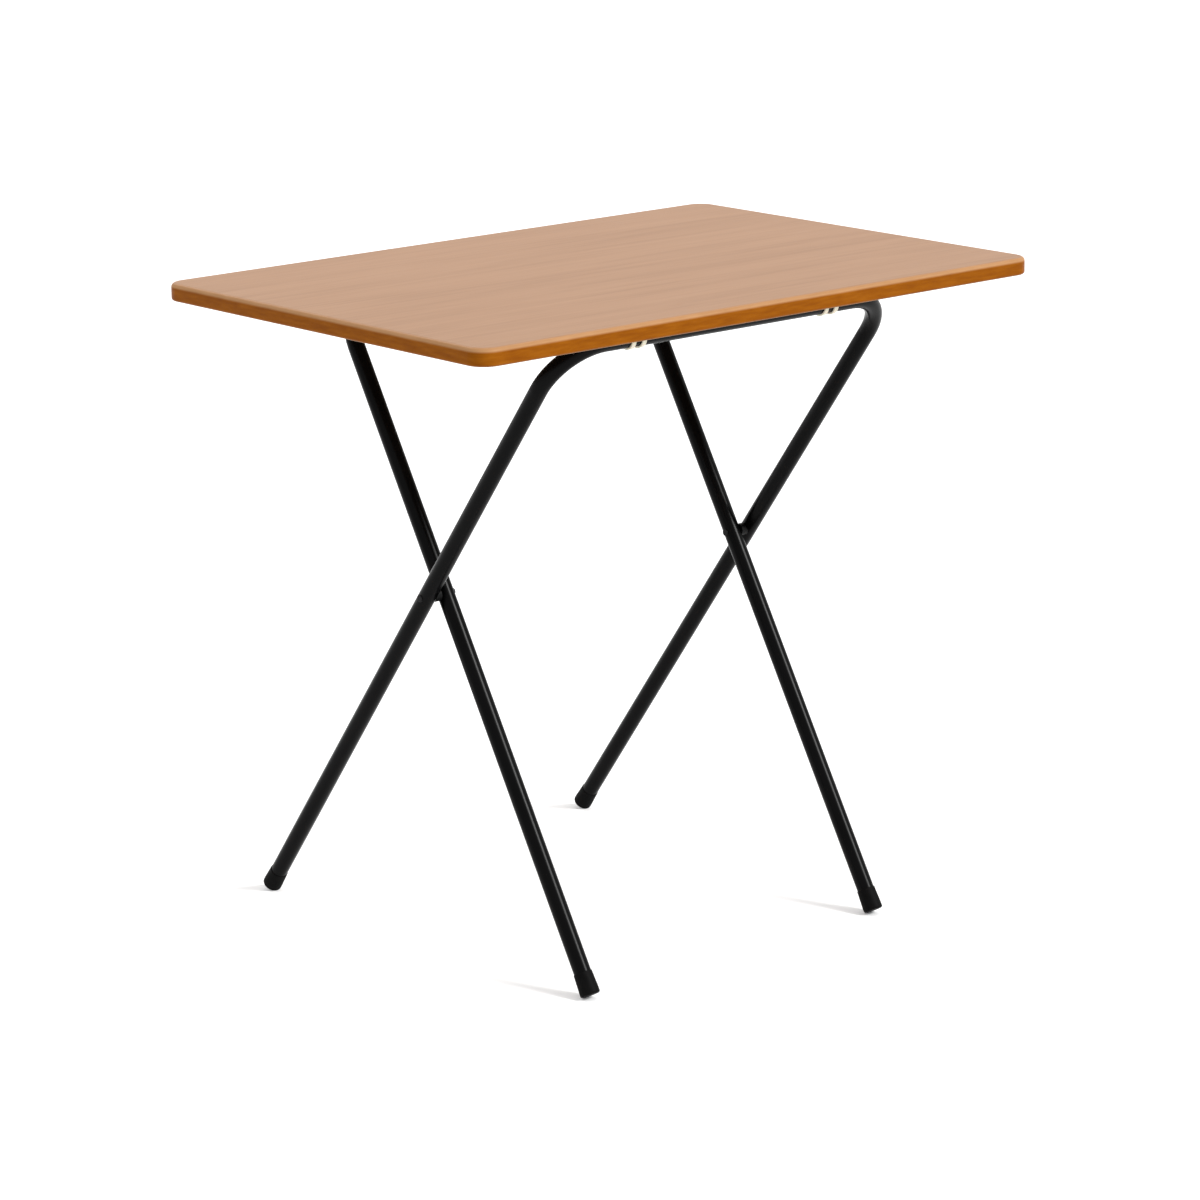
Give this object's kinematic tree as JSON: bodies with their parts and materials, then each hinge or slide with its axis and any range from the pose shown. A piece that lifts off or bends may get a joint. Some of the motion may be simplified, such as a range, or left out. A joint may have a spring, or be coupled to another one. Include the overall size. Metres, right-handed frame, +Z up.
{
  "type": "folding table",
  "caption": "Folding table: a flat wood-grain laminate top, hinged on one tube leg frame and resting on a second that crosses it like scissors.",
  "frame": {"origin": "bottom centre of the bounding box: on the floor, midway between the top's front edge and the rear foot caps", "axes": "+X along the long edge of the top, to the right of someone sitting at it; +Y away from the sitter; +Z up"},
  "size_m": [0.765, 0.5944, 0.72],
  "materials": {
    "wood_laminate": "satin wood-grain laminate",
    "backing_laminate": "matt balancing laminate",
    "lacquered_edge": "lacquered fibreboard edge",
    "black_tube": "satin black powder coat",
    "black_rubber": "matt",
    "cream_nylon": "moulded nylon",
    "zinc_screw": "zinc plated",
    "black_steel": "black zinc",
    "black_plastic": "moulded nylon"
  },
  "bodies": {
    "outer_frame": {"outer_leg_frame": "black_tube", "rear_left_foot_cap": "black_rubber", "rear_right_foot_cap": "black_rubber", "left_pivot_rivet": "black_steel", "right_pivot_rivet": "black_steel", "left_pivot_spacer": "black_plastic", "right_pivot_spacer": "black_plastic", "left_pivot_washer": "black_steel", "right_pivot_washer": "black_steel"},
    "inner_frame": {"inner_leg_frame": "black_tube", "front_left_foot_cap": "black_rubber", "front_right_foot_cap": "black_rubber"},
    "table_top": {"board_core": "lacquered_edge", "top_laminate": "wood_laminate", "underside_laminate": "backing_laminate", "left_bar_clip": "cream_nylon", "right_bar_clip": "cream_nylon", "bar_clip_screws": "zinc_screw", "left_rest_catch": "cream_nylon", "right_rest_catch": "cream_nylon", "rest_catch_screws": "zinc_screw"}
  },
  "joints": [
    {"name": "top_swing", "type": "hinge", "parent": "outer_frame", "child": "table_top", "pos_m": [0, -0.23319, 0.6906], "axis": [1, 0, 0], "range_deg": [0, 126]},
    {"name": "leg_fold", "type": "hinge", "parent": "outer_frame", "child": "inner_frame", "pos_m": [0, -0.00757, 0.39495], "axis": [1, 0, 0], "range_deg": [0, 67.55]}
  ],
  "couplings": [
    {"joint": "leg_fold", "follows": "top_swing", "ratio": 0.53571}
  ]
}
